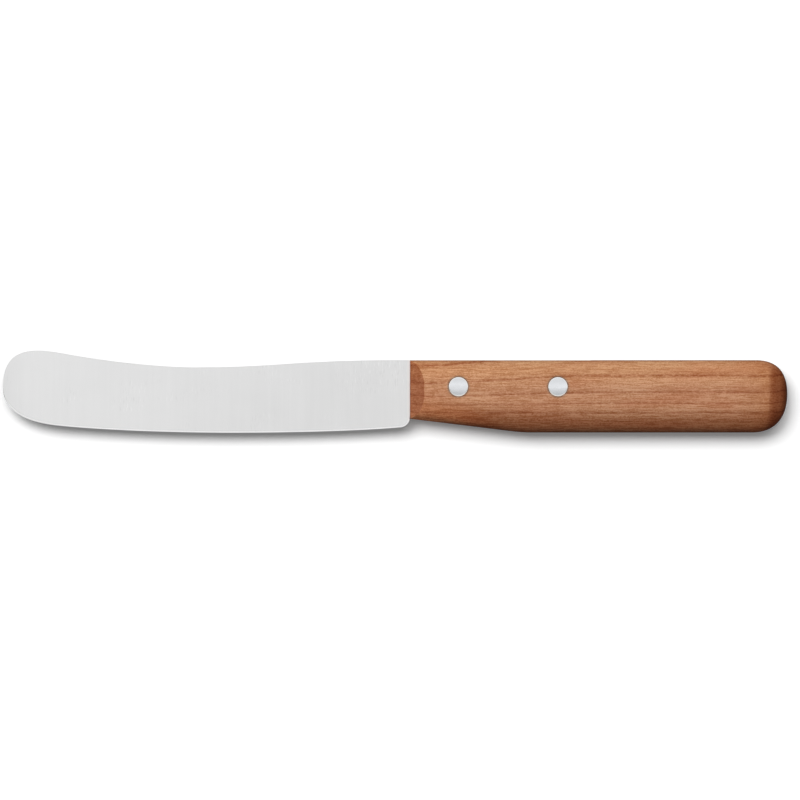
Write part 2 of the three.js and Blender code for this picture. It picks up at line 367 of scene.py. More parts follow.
@dataclass(frozen=True)
class Rise:
    """An even rise: the result is start where the value is low, and end where it is high."""

    low: float
    high: float
    start: float = 0.0
    end: float = 1.0


@dataclass(frozen=True)
class Grain:
    """Cloudy noise: a blob's length on each axis, finer layers and their strength, and its swing or rise."""

    size: tuple[float, float, float]
    layers: float = 2.0
    layer_strength: float = 0.5
    swing: float = 1.0
    rise: Rise = Rise(0.0, 1.0)


class Nodes:
    """The nodes of a material or of the world, with short ways to add more of them."""

    def __init__(self, tree: bpy.types.NodeTree) -> None:
        """Starts from an empty tree."""
        self.tree = tree
        tree.nodes.clear()

    def add(self, kind: str, inputs: Optional[dict] = None, **settings: object) -> bpy.types.Node:
        """Adds a node.

        Args:
            kind: Blender's name for its type, without ShaderNode.
            inputs: Outputs that are linked to its inputs, or plain values, by the inputs' names or numbers.
            settings: Its properties.

        Returns:
            The node.
        """
        node = self.tree.nodes.new("ShaderNode" + kind)
        for name, value in settings.items():
            setattr(node, name, value)
        for name, value in (inputs or {}).items():
            socket = node.inputs[name]
            if isinstance(value, Socket):
                self.tree.links.new(value, socket)
            elif socket.type == "RGBA":
                socket.default_value = (*value, 1.0)
            else:
                socket.default_value = value
        return node

    def math(self, operation: str, first: Number, *others: Number, clamp: bool = False) -> Socket:
        """Adds steps of reckoning.

        Args:
            operation: Blender's name for what each step does.
            first: What it starts from.
            others: The second number of each step. Without any, one step works on the first number alone.
            clamp: Whether each result is kept between 0 and 1.

        Returns:
            The last result.
        """
        for other in others or (0.0,):
            first = self.add("Math", {0: first, 1: other}, operation=operation, use_clamp=clamp).outputs[0]
        return first

    def plus(self, first: Number, *others: Number) -> Socket:
        """Adds numbers up."""
        return self.math("ADD", first, *others)

    def minus(self, first: Number, second: Number, clamp: bool = False) -> Socket:
        """Takes the second number from the first."""
        return self.math("SUBTRACT", first, second, clamp=clamp)

    def times(self, first: Number, *others: Number) -> Socket:
        """Multiplies numbers."""
        return self.math("MULTIPLY", first, *others)

    def length(self, first: Number, second: Number) -> Socket:
        """The long side of a right triangle with the given short sides."""
        return self.math("SQRT", self.plus(self.times(first, first), self.times(second, second)))

    def rise(self, value: Number, rise: Rise) -> Socket:
        """An even rise that follows a value."""
        ends = {"From Min": rise.low, "From Max": rise.high, "To Min": rise.start, "To Max": rise.end}
        return self.add("MapRange", {"Value": value, **ends}, interpolation_type="SMOOTHSTEP").outputs[0]

    def axes(self, vector: Socket) -> tuple[Socket, ...]:
        """The three parts of a vector."""
        return tuple(self.add("SeparateXYZ", {0: vector}).outputs)

    def mapped(self, vector: Socket, scale: Sequence[float], location: Sequence[float] = (0, 0, 0)) -> Socket:
        """Coordinates that are scaled and then moved."""
        return self.add("Mapping", {"Vector": vector, "Scale": scale, "Location": location}).outputs[0]

    def ramp(self, value: Number, stops: Sequence[Point]) -> Socket:
        """Adds a ramp of greys that run into each other evenly.

        Args:
            value: The place on the ramp.
            stops: Place and level of each stop.

        Returns:
            The grey.
        """
        node = self.add("ValToRGB", {0: value})
        bar = node.color_ramp
        bar.interpolation = "EASE"
        while len(bar.elements) < len(stops):
            bar.elements.new(1.0)
        for element, (place, level) in zip(bar.elements, stops):
            element.position = place
            element.color = (*grey(level), 1.0)
        return node.outputs["Color"]

    def mix(self, share: Number, first: Paint, second: Paint, blend: str = "MIX") -> Socket:
        """Mixes two colours by the share of the second, in one of Blender's named ways."""
        inputs = {"Factor": share, MIX_FIRST: first, MIX_SECOND: second}
        return self.add("Mix", inputs, data_type="RGBA", blend_type=blend).outputs[MIX_RESULT]

    def tinted(self, colour: Paint, tints: Iterable[Paint]) -> Paint:
        """Multiplies a colour by tints.

        Args:
            colour: The colour.
            tints: The tints, one after the other.

        Returns:
            The tinted colour.
        """
        for tint in tints:
            colour = self.mix(1.0, colour, tint, "MULTIPLY")
        return colour

    def bump(self, height: Socket, depth: float, share: float) -> Socket:
        """The normal of relief with the given depth in metres, of which the given share shows."""
        return self.add("Bump", {"Height": height, "Distance": depth, "Strength": share}).outputs["Normal"]


class FinishNodes(Nodes):
    """The nodes of a finish, with its coordinates in the maker's frame, in millimetres."""

    def __init__(self, tree: bpy.types.NodeTree, origin: Vector) -> None:
        """Finds the coordinates.

        Args:
            tree: The material's node tree.
            origin: Where the maker's origin lies in the part's frame.
        """
        super().__init__(tree)
        place = self.add("TexCoord")
        self.normal = place.outputs["Normal"]
        self.local = self.mapped(place.outputs["Object"], (1 / MM,) * 3, -origin / MM)
        self.x, self.y, self.z = self.axes(self.local)

    def noise(self, grain: Grain) -> Socket:
        """Adds cloudy noise.

        Args:
            grain: Its pattern.

        Returns:
            The noise, about 0.5.
        """
        place = self.mapped(self.local, [1.0 / length for length in grain.size])
        inputs = {"Vector": place, "Scale": 1.0, "Detail": grain.layers, "Roughness": grain.layer_strength}
        return self.add("TexNoise", inputs).outputs["Fac"]

    def around(self, noise: Socket, swing: float) -> Socket:
        """Noise about 0, from minus half to plus half of the given swing."""
        return self.times(self.minus(noise, 0.5), swing)

    def swung(self, grain: Grain) -> Socket:
        """Noise about 0, with the grain's own swing."""
        return self.around(self.noise(grain), grain.swing)

    def spread(self, grain: Grain) -> Socket:
        """Noise that is spread over the grain's own rise."""
        return self.rise(self.noise(grain), grain.rise)

    def from_rivets(self) -> Socket:
        """How far the surface is from the nearest rivet's axis."""
        along = (self.math("ABSOLUTE", self.minus(self.x, reach / MM)) for reach in RIVET_REACHES)
        return self.length(self.math("MINIMUM", *along), self.plus(self.y, RIVET_DROP / MM))


@dataclass(frozen=True)
class Finish:
    """A finish in the maker's frame, in millimetres. Tints are what its base colour is multiplied by."""

    name: str
    base: Colour

    def material(self, origin: Vector) -> bpy.types.Material:
        """Makes the finish.

        Args:
            origin: Where the maker's origin lies in the part's frame.

        Returns:
            The material.
        """
        material = bpy.data.materials.new(self.name)
        material.use_nodes = True
        nodes = FinishNodes(material.node_tree, origin)
        shader = nodes.add("BsdfPrincipled", self.drawn(nodes))
        nodes.add("OutputMaterial", {"Surface": shader.outputs[0]})
        return material

    def drawn(self, nodes: FinishNodes) -> dict[str, object]:
        """Draws the finish: what goes into the shader, by the name of its input."""
        raise NotImplementedError


@dataclass(frozen=True)
class Metal(Finish):
    """Bare metal, with scratches that give it its roughness and relief."""

    scratch: Grain
    rough: Rise
    relief_depth: float
    relief_share: float

    def drawn(self, nodes: FinishNodes) -> dict[str, object]:
        """Draws the metal.

        Args:
            nodes: The finish's nodes.

        Returns:
            What goes into the shader, by the name of its input.
        """
        scratch = nodes.noise(self.scratch)
        return {
            "Base Color": nodes.tinted(self.base, self.tints(nodes, scratch)),
            "Roughness": nodes.rise(scratch, self.rough),
            "Normal": nodes.bump(scratch, self.relief_depth, self.relief_share),
            "Metallic": 1.0,
        }

    def tints(self, nodes: FinishNodes, scratch: Socket) -> list[Paint]:
        """The tints of the metal, worked out from its scratches and from the place."""
        raise NotImplementedError


@dataclass(frozen=True)
class SatinSteel(Metal):
    """Stainless steel with a fine satin grind across the blade, and scratches from use."""

    name: str = "satin_steel"
    base: Colour = grey(0.79)
    scratch: Grain = Grain((0.30, 22.0, 6.0), 3.0, 0.65, swing=0.045)
    rough: Rise = Rise(0.2, 0.8, 0.34, 0.42)
    relief_depth: float = 0.004 * MM
    relief_share: float = 0.6
    stroke: Grain = Grain((1.8, 30.0, 6.0), swing=0.045)
    cloud: Grain = Grain((16.0, 12.0, 9.0), swing=0.06)
    length_tone: Rise = Rise(-117.0, 0.0, 1.015, 0.965)
    tip_tone: Rise = Rise(-117.0, -108.0, 0.96, 1.0)
    mark: Grain = Grain((0.36, 2.5, 6.0), 1.0, 0.6)
    light_mark: Rise = Rise(0.40, 0.26, 0.0, 0.07)
    dark_mark: Rise = Rise(0.60, 0.74, 0.0, 0.08)
    marked_patch: Grain = Grain((17.0, 9.0, 9.0), 1.0, rise=Rise(0.50, 0.66))
    heel_along: Rise = Rise(-26.0, -14.0)
    heel_up: Rise = Rise(-13.0, -5.0)
    # Painted reflection: the last 0.9 mm of steel before the handle is tinted warm and lighter, as if it
    # mirrored the wood.
    painted_wood_reflection: Colour = (1.16, 1.09, 1.06)
    wood_reflection_along: Rise = Rise(-0.9, 0.0)

    def tints(self, nodes: FinishNodes, scratch: Socket) -> list[Paint]:
        """Draws the grind, the marks of use and a painted warm reflection of the wood beside it.

        Args:
            nodes: The finish's nodes.
            scratch: The fine grind.

        Returns:
            The tints.
        """
        mark = nodes.noise(self.mark)
        mark = nodes.minus(nodes.rise(mark, self.light_mark), nodes.rise(mark, self.dark_mark))
        patch = nodes.spread(self.marked_patch)
        heel = nodes.times(nodes.rise(nodes.x, self.heel_along), nodes.rise(nodes.y, self.heel_up))
        tone = nodes.plus(
            nodes.times(nodes.rise(nodes.x, self.length_tone), nodes.rise(nodes.x, self.tip_tone)),
            nodes.around(scratch, self.scratch.swing),
            nodes.swung(self.stroke),
            nodes.swung(self.cloud),
            nodes.times(mark, nodes.math("MAXIMUM", patch, heel)),
        )
        # The last tint is the painted reflection of the wood next to the handle.
        return [tone, nodes.mix(nodes.rise(nodes.x, self.wood_reflection_along), WHITE, self.painted_wood_reflection)]


@dataclass(frozen=True)
class HonedEdge(Metal):
    """The cutting bevel: the same steel, honed brighter than the satin faces."""

    name: str = "honed_edge"
    base: Colour = grey(0.825)
    scratch: Grain = Grain((0.12, 3.0, 3.0), 2.0, 0.6)
    rough: Rise = Rise(0.25, 0.75, 0.19, 0.29)
    relief_depth: float = 0.003 * MM
    relief_share: float = 0.5
    wear: Grain = Grain((5.0, 5.0, 5.0), rise=Rise(0.3, 0.7, 0.96, 1.03))
    tip_tint: Colour = grey(0.92)
    tip_along: Rise = Rise(-97.0, -106.0)

    def tints(self, nodes: FinishNodes, scratch: Socket) -> list[Paint]:
        """Draws the wear along the edge and its duller end at the tip. The scratches leave no tone."""
        tip = nodes.mix(nodes.rise(nodes.x, self.tip_along), WHITE, self.tip_tint)
        return [tip, nodes.spread(self.wear)]


@dataclass(frozen=True)
class GroundAluminium(Metal):
    """Aluminium rivet heads, ground flush along the handle and polished."""

    name: str = "ground_aluminium"
    base: Colour = (0.72, 0.735, 0.757)
    scratch: Grain = Grain((4.0, 0.07, 0.5), 3.0, 0.6, rise=Rise(0.3, 0.7, -0.01, 0.01))
    rough: Rise = Rise(0.25, 0.75, 0.13, 0.22)
    relief_depth: float = 0.003 * MM
    relief_share: float = 0.4
    bloom: Grain = Grain((1.6, 1.2, 1.6), rise=Rise(0.3, 0.7, 0.98, 1.02))
    # Painted highlight and reflection: the rims are tinted warm like the wood that they would mirror, and the
    # upper rim, which faces the lights, is lighter.
    upper_rim_painted_highlight: Colour = (1.16, 1.08, 1.00)
    lower_rim_painted_reflection: Colour = (1.03, 0.96, 0.87)
    rim_start: float = 2.45
    rim_end: float = 2.62

    def tints(self, nodes: FinishNodes, scratch: Socket) -> list[Paint]:
        """Draws the bloom of the metal and the rims, with a painted warm reflection of the wood on them,
        lighter on the upper rim as a painted highlight.

        Args:
            nodes: The finish's nodes.
            scratch: The fine scratches.

        Returns:
            The tints.
        """
        tone = nodes.plus(nodes.spread(self.bloom), nodes.rise(scratch, self.scratch.rise))
        middle = -RIVET_DROP / MM
        up = nodes.rise(nodes.y, Rise(middle - self.rim_end, middle + self.rim_end))
        # Painted reflection on the rims, lighter towards the upper side.
        painted_rim_shading = nodes.mix(up, self.lower_rim_painted_reflection, self.upper_rim_painted_highlight)
        rim = nodes.rise(nodes.from_rivets(), Rise(self.rim_start, self.rim_end))
        return [tone, nodes.mix(rim, WHITE, painted_rim_shading)]


@dataclass(frozen=True)
class OiledCherry(Finish):
    """Oiled cherry wood, cut along the grain, with growth lines that fan out towards the handle's front."""

    name: str = "oiled_cherry"
    base: Colour = (0.452, 0.2175, 0.1185)
    rough: Rise = Rise(0.0, 1.0, 0.46, 0.58)
    shine: float = 0.06
    relief_depth: float = 0.03 * MM
    relief_share: float = 0.6
    relief_swing: float = 0.5

    # Growth lines
    fan_height: float = -14.4
    fan: Rise = Rise(0.0, 52.0, 1.25, 1.0)
    lean: float = 0.13
    waves: tuple[Grain, ...] = (
        Grain((34.0, 9.0, 9.0), 1.0, swing=0.9),
        Grain((4.0, 1.3, 3.0), 3.0, 0.6, swing=0.35),
    )
    pith_offset: float = 13.65
    pith_depth: float = 10.0
    first_ring: float = 10.44
    ring_width: float = 2.16
    line_tint: Colour = (0.62, 0.44, 0.37)
    line_stops: tuple[Point, ...] = (
        (0.0, 1.0), (0.06, 0.3), (0.12, 0.0), (0.5, 0.04), (0.8, 0.15), (0.93, 0.36), (1.0, 1.0)
    )
    line_breaks: tuple[Grain, ...] = (
        Grain((2.2, 0.5, 0.8), 3.0, 0.65, rise=Rise(0.32, 0.56, 0.5, 1.0)),
        Grain((16.0, 2.5, 5.0), 1.0, rise=Rise(0.3, 0.55, 0.65, 1.0)),
        Grain((1.0, 0.6, 0.8), 1.0, rise=Rise(0.36, 0.6, 0.62, 1.22)),
    )
    line_up: Rise = Rise(-17.0, -15.4, 0.5, 1.0)

    # Fibres, figure and hue
    dark_tint: Colour = (0.80, 0.69, 0.59)
    light_tint: Colour = (1.20, 1.31, 1.41)
    fibres: tuple[Grain, ...] = (
        Grain((0.44, 0.27, 0.5), 1.0, swing=1.8),
        Grain((4.4, 0.30, 0.8), 2.0, 0.6, swing=2.5),
        Grain((18.0, 0.55, 1.5), 3.0, 0.6, swing=1.5),
    )
    hair: Grain = Grain((7.0, 0.6, 1.8), 2.0, 0.6, rise=Rise(0.04, 0.0, -0.07, 0.33))
    steep_up: Rise = Rise(-13.5, -17.5, 1.0, 2.1)
    figure: Grain = Grain((0.75, 3.4, 3.4), 2.0, 0.6, swing=0.8)
    figured_patch: Grain = Grain((11.0, 5.0, 6.0), 1.0, rise=Rise(0.42, 0.62))
    red_tint: Colour = (0.94, 0.86, 0.83)
    pale_tint: Colour = (1.06, 1.14, 1.17)
    cloud: Grain = Grain((22.0, 5.0, 8.0), rise=Rise(0.3, 0.7))
    pore: Grain = Grain((1.5, 0.17, 0.3), 2.0, 0.6, rise=Rise(0.58, 0.72))
    pore_roughness: float = 0.15

    # Zones of the handle, by their place or by the way that the surface is turned
    gold_tint: Colour = (1.09, 1.09, 0.99)
    gold_up: Rise = Rise(-9.0, -2.0)
    # Painted light: the top edge, which faces the lights, is lighter.
    top_edge_painted_light: Colour = (1.07, 1.09, 1.10)
    top_up: Rise = Rise(-2.3, -0.9)
    end_tint: Colour = (0.72, 0.54, 0.47)
    end_turn: Rise = Rise(0.08, 0.56)
    end_turn_up: Rise = Rise(0.35, 0.75, 1.0, 0.6)
    # The lower flank is darker: partly darker wood, partly painted shade on the side turned away from the
    # lights.
    flank_tone_and_painted_shade: Colour = (0.60, 0.465, 0.385)
    flank_up: Rise = Rise(8.4, 2.2)
    flank_along: Rise = Rise(0.0, 27.0)
    belly_tint: Colour = (0.98, 0.74, 0.59)
    belly_along: Rise = Rise(30.0, 14.0)
    belly_front: float = 16.85
    belly_slope: float = 0.1223
    belly_drop: float = 20.8
    nose_tint: Colour = (0.86, 0.84, 0.82)
    nose_along: Rise = Rise(0.75, 0.15)
    front_tint: Colour = (1.06, 1.04, 1.02)
    front_along: Rise = Rise(45.0, 0.0)
    butt_tint: Colour = (0.825, 0.70, 0.58)
    butt_along: Rise = Rise(92.0, 107.0)
    butt_up: Rise = Rise(-1.0, -6.0, 0.4, 1.0)
    # Painted shade: the butt is darkened over its last 2.5 mm, where it rounds off.
    butt_rim_painted_shade: Colour = (0.40, 0.30, 0.22)
    butt_rim_along: Rise = Rise(106.2, 108.7)
    # Painted shade: the rounded rims are darker where the surface turns away from the flat side.
    painted_rim_shading: Colour = (0.54, 0.43, 0.34)
    rim_turn: Rise = Rise(0.40, 0.05)
    # Painted light: the lower rim near the front is lightened where the rounding turns it away from the
    # lights.
    front_rim_painted_light: Colour = (1.80, 1.75, 1.80)
    front_rim_light_along: Rise = Rise(12.0, 1.0)
    front_rim_light_up: Rise = Rise(-10.0, -14.0)
    front_rim_light_turn: Rise = Rise(0.62, 0.25)
    stain_tint: Colour = (0.74, 0.86, 0.98)
    stain_around: Rise = Rise(3.5, 3.05)

    def growth(self, nodes: FinishNodes) -> Socket:
        """Counts growth lines through the wood.

        Args:
            nodes: The finish's nodes.

        Returns:
            The count, whole on each growth line.
        """
        level = nodes.plus(nodes.minus(nodes.y, self.fan_height), nodes.times(nodes.z, self.lean))
        fanned = nodes.times(level, nodes.rise(nodes.x, self.fan))
        height = nodes.plus(fanned, *map(nodes.swung, self.waves))
        radius = nodes.length(nodes.minus(self.pith_offset, height), self.pith_depth)
        return nodes.math("DIVIDE", nodes.minus(radius, self.first_ring), self.ring_width)

    def late_wood(self, nodes: FinishNodes) -> Socket:
        """How dark the late wood is, a fine broken line at the end of each year's growth."""
        band = nodes.ramp(nodes.math("FRACT", self.growth(nodes)), self.line_stops)
        return nodes.times(band, *map(nodes.spread, self.line_breaks), nodes.rise(nodes.y, self.line_up))

    def fibre(self, nodes: FinishNodes) -> Socket:
        """Draws the fibres: fine flecks, short dashes, long streaks and dark hairs.

        Args:
            nodes: The finish's nodes.

        Returns:
            How light the wood is, about 0.5.
        """
        light = nodes.plus(*map(nodes.swung, self.fibres))
        hair = nodes.rise(nodes.math("ABSOLUTE", nodes.swung(self.hair)), self.hair.rise)
        return nodes.plus(nodes.times(nodes.minus(light, hair), nodes.rise(nodes.y, self.steep_up)), 0.5)

    def zones(self, nodes: FinishNodes) -> list[Paint]:
        """Tints the end grain, the darker lower flank, the butt and the rounded rims. The lower flank's
        darkening is partly painted shade, the rounded rims and the butt's end get painted shade, and the top
        edge and the lower front rim get painted light.

        Args:
            nodes: The finish's nodes.

        Returns:
            The tints.
        """
        x, y = nodes.x, nodes.y
        along, up, out = nodes.axes(nodes.normal)
        out = nodes.math("ABSOLUTE", out)
        slope = nodes.plus(nodes.times(x, self.belly_slope), self.belly_front)
        flank = nodes.rise(nodes.plus(y, nodes.math("MINIMUM", slope, self.belly_drop)), self.flank_up)
        turned = nodes.rise(nodes.math("ABSOLUTE", along), self.end_turn)
        end = nodes.times(turned, nodes.rise(up, self.end_turn_up))
        front_belly = nodes.minus(nodes.rise(x, self.belly_along), turned, clamp=True)
        # Painted light on the lower front rim, kept off the end grain.
        front_rim_corner = nodes.times(nodes.rise(x, self.front_rim_light_along), nodes.rise(y, self.front_rim_light_up))
        front_rim_light = nodes.minus(nodes.times(front_rim_corner, nodes.rise(out, self.front_rim_light_turn)), end, clamp=True)
        shares = (
            (nodes.rise(y, self.gold_up), self.gold_tint),
            (nodes.rise(y, self.top_up), self.top_edge_painted_light),
            (end, self.end_tint),
            (nodes.times(flank, nodes.rise(x, self.flank_along)), self.flank_tone_and_painted_shade),
            (nodes.times(flank, front_belly), self.belly_tint),
            (nodes.rise(x, self.nose_along), self.nose_tint),
            (nodes.rise(x, self.front_along), self.front_tint),
            (nodes.times(nodes.rise(x, self.butt_along), nodes.rise(y, self.butt_up)), self.butt_tint),
            (nodes.rise(x, self.butt_rim_along), self.butt_rim_painted_shade),
            # painted shade on the rounded rims
            (nodes.rise(out, self.rim_turn), self.painted_rim_shading),
            (front_rim_light, self.front_rim_painted_light),
            (nodes.rise(nodes.from_rivets(), self.stain_around), self.stain_tint),
        )
        return [nodes.mix(share, WHITE, tint) for share, tint in shares]

    def drawn(self, nodes: FinishNodes) -> dict[str, object]:
        """Draws the wood.

        Args:
            nodes: The finish's nodes.

        Returns:
            What goes into the shader, by the name of its input.
        """
        fibre = self.fibre(nodes)
        figure = nodes.times(nodes.swung(self.figure), nodes.spread(self.figured_patch))
        pores = nodes.spread(self.pore)
        relief = nodes.times(nodes.minus(fibre, pores), self.relief_swing)
        tints = [
            nodes.mix(nodes.plus(fibre, figure), self.dark_tint, self.light_tint),
            nodes.mix(nodes.spread(self.cloud), self.red_tint, self.pale_tint),
            nodes.mix(self.late_wood(nodes), WHITE, self.line_tint),
        ]
        return {
            "Base Color": nodes.tinted(self.base, [*tints, *self.zones(nodes)]),
            "Roughness": nodes.plus(nodes.rise(fibre, self.rough), nodes.times(pores, self.pore_roughness)),
            "Normal": nodes.bump(relief, self.relief_depth, self.relief_share),
            "Specular IOR Level": self.shine,
        }


@dataclass
class Handle:
    """The wooden handle: an oval bar with two facets in front, a round butt, a slot and rivet holes."""

    origin: Vector
    name: str = "cherry_handle"
    length: float = 108.6 * MM
    height: float = 20.8 * MM
    thickness: float = 11.5 * MM
    front_gap: float = 0.1 * MM
    front_height: float = 16.85 * MM
    slope_run: float = 32.3 * MM
    slope_blend: float = 3.0 * MM
    face_thickness: float = 3.4 * MM
    facet_angle: float = math.radians(45)
    facet_ease: float = 0.15 * MM
    roundness: float = 2.25
    land_height: float = 5.0 * MM
    butt_spine_round: float = 9.0 * MM
    butt_belly_round: float = 10.1 * MM
    butt_nose_drop: float = 9.7 * MM
    butt_spine_holds: Pair = (0.665, 0.665)
    butt_belly_holds: Pair = (0.63, 0.63)
    butt_chamfer: float = 4.05 * MM
    butt_blend: float = 1.85 * MM
    butt_edge_thickness: float = 2.7 * MM
    butt_edge_round: float = 0.9 * MM
    quarter_steps: int = 26
    land_steps: int = 6
    bar_step: float = 2.0 * MM
    blend_steps: int = 12
    butt_steps: int = 40
    ease_steps: int = 2

    def __post_init__(self) -> None:
        """Draws the outlines and works out where the belly bends."""
        self.blend_start = self.slope_run - self.slope_blend
        self.blend_end = self.slope_run + self.slope_blend
        self.butt_start = self.length - self.butt_belly_round
        self.butt_nose = (self.length, -self.butt_nose_drop)
        self.land_share = self.land_height / self.height
        self.spine = self.spine_line()
        self.belly = self.belly_line()
        self.side = self.side_line()

    def spine_line(self) -> Outline:
        """Draws the handle's upper edge, seen from the side.

        Returns:
            The outline.
        """
        turn = (self.length - self.butt_spine_round, 0)
        return Outline(
            Bezier((self.front_gap, 0), turn),
            eased(turn, self.butt_nose, self.butt_spine_holds, (0, math.inf)),
        )

    def belly_line(self) -> Outline:
        """Draws the handle's lower edge, seen from the side.

        Returns:
            The outline.
        """
        slope = (self.height - self.front_height) / self.slope_run
        blend_start = (self.blend_start, self.slope_blend * slope - self.height)
        blend_end = (self.blend_end, -self.height)
        turn = (self.butt_start, -self.height)
        return Outline(
            Bezier((self.front_gap, -self.front_height - self.front_gap * slope), blend_start),
            Bezier(blend_start, (self.slope_run, -self.height), blend_end),
            Bezier(blend_end, turn),
            eased(turn, self.butt_nose, self.butt_belly_holds, (0, math.inf)),
        )

    def side_line(self) -> Outline:
        """Draws half the handle's thickness along its length.

        Returns:
            The outline.
        """
        half, edge = self.thickness / 2, self.butt_edge_thickness / 2
        corner = self.length - self.butt_chamfer
        slope = (half - edge) / self.butt_chamfer
        bar_end = (corner - self.butt_blend, half)
        turn = (self.length - self.butt_edge_round, edge + self.butt_edge_round * slope)
        return Outline(
            Bezier((self.front_gap, half), bar_end),
            Bezier(bar_end, (corner, half), turn),
            Bezier(turn, (self.length, edge), (self.length, 0)),
        )

    def bulge(self, share: float) -> float:
        """Finds the section's half thickness.

        Args:
            share: The height above the section's middle, as a share of its half height.

        Returns:
            The half thickness there, as a share of that at the flat land.
        """
        share = max(abs(share), self.land_share)
        power = self.roundness
        return ((1 - min(share, 1.0) ** power) / (1 - self.land_share**power)) ** (1 / power)

    def unit_section(self) -> list[Point]:
        """Draws the oval section at unit size.

        Returns:
            Height and half thickness of its points, from the spine over the upper side and back.
        """
        start = math.asin(self.land_share ** (self.roundness / 2))
        angles = [lerp(math.pi / 2, start, (i + 1) / self.quarter_steps) for i in range(self.quarter_steps)]
        heights = [math.sin(angle) ** (2 / self.roundness) for angle in angles]
        land = evenly(self.land_share, -self.land_share, self.land_steps)[1:]
        column = heights + land + [-height for height in reversed(heights)]
        upper = [(height, self.bulge(height)) for height in column]
        lower = [(height, -bulge) for height, bulge in reversed(upper)]
        return [(1.0, 0.0), *upper, (-1.0, 0.0), *lower]

    def extent(self, x: float) -> tuple[float, float, float]:
        """Finds the section's size at one place.

        Args:
            x: The place along the handle.

        Returns:
            The height of its middle, its half height and its half thickness.
        """
        top = self.spine.height_at(x)
        bottom = self.belly.height_at(x)
        return (top + bottom) / 2, (top - bottom) / 2, self.side.height_at(x)

    def surface_height(self, x: float, y: float) -> float:
        """The height of the handle's upper side above the middle plane."""
        middle, tall, half = self.extent(x)
        return half * self.bulge((y - middle) / tall)

    def places(self) -> list[float]:
        """Chooses where the sections stand along the handle.

        Returns:
            The places, from the front to the butt.
        """
        front_steps = round((self.blend_start - self.front_gap) / self.bar_step)
        bar_steps = round((self.butt_start - self.blend_end) / self.bar_step)
        return [
            *evenly(self.front_gap, self.blend_start, front_steps),
            *evenly(self.blend_start, self.blend_end, self.blend_steps),
            *evenly(self.blend_end, self.butt_start, bar_steps),
            *crowded(self.butt_start, self.length, self.butt_steps),
        ]

    def bar(self) -> Piece:
        """Shapes the handle's outside.

        Returns:
            The handle without its slot and holes.
        """
        unit = self.unit_section()
        sections = []
        for x in self.places():
            middle, tall, half = self.extent(x)
            sections.append([Vector((x, middle + up * tall, out * half)) for up, out in unit])
        shape = Shape()
        shape.loft(sections)
        rims: list[bmesh.types.BMEdge] = []
        for side in Side:
            point = Vector((self.front_gap, 0, side.value * self.face_thickness / 2))
            normal = Vector((-math.sin(self.facet_angle), 0, side.value * math.cos(self.facet_angle)))
            rims.extend(shape.bisect(point, normal).edges)
        bmesh.ops.bevel(
            shape.bm,
            geom=list(dict.fromkeys(rim for rim in rims if rim.is_valid)),
            offset=self.facet_ease,
            segments=self.ease_steps,
            profile=0.5,
            affect="EDGES",
            material=-1,
            clamp_overlap=True,
        )
        shape.settle_flats()
        return shape.finished(self.name)

    def build(self, slot: Piece, holes: Iterable[Piece]) -> Piece:
        """Makes the handle, in the part's frame, with tools for the tang's slot and the rivet holes."""
        tools = [(slot, Cut.REMOVE), *((hole, Cut.REMOVE) for hole in holes)]
        return placed(worked(self.bar(), tools), self.origin)

    def dress(self, piece: Piece) -> None:
        """Gives the handle its wood, and its place in the part.

        Args:
            piece: The handle.
        """
        piece.data.materials.clear()
        piece.data.materials.append(OiledCherry().material(self.origin))
        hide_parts("handle")
        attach(piece, BODY)


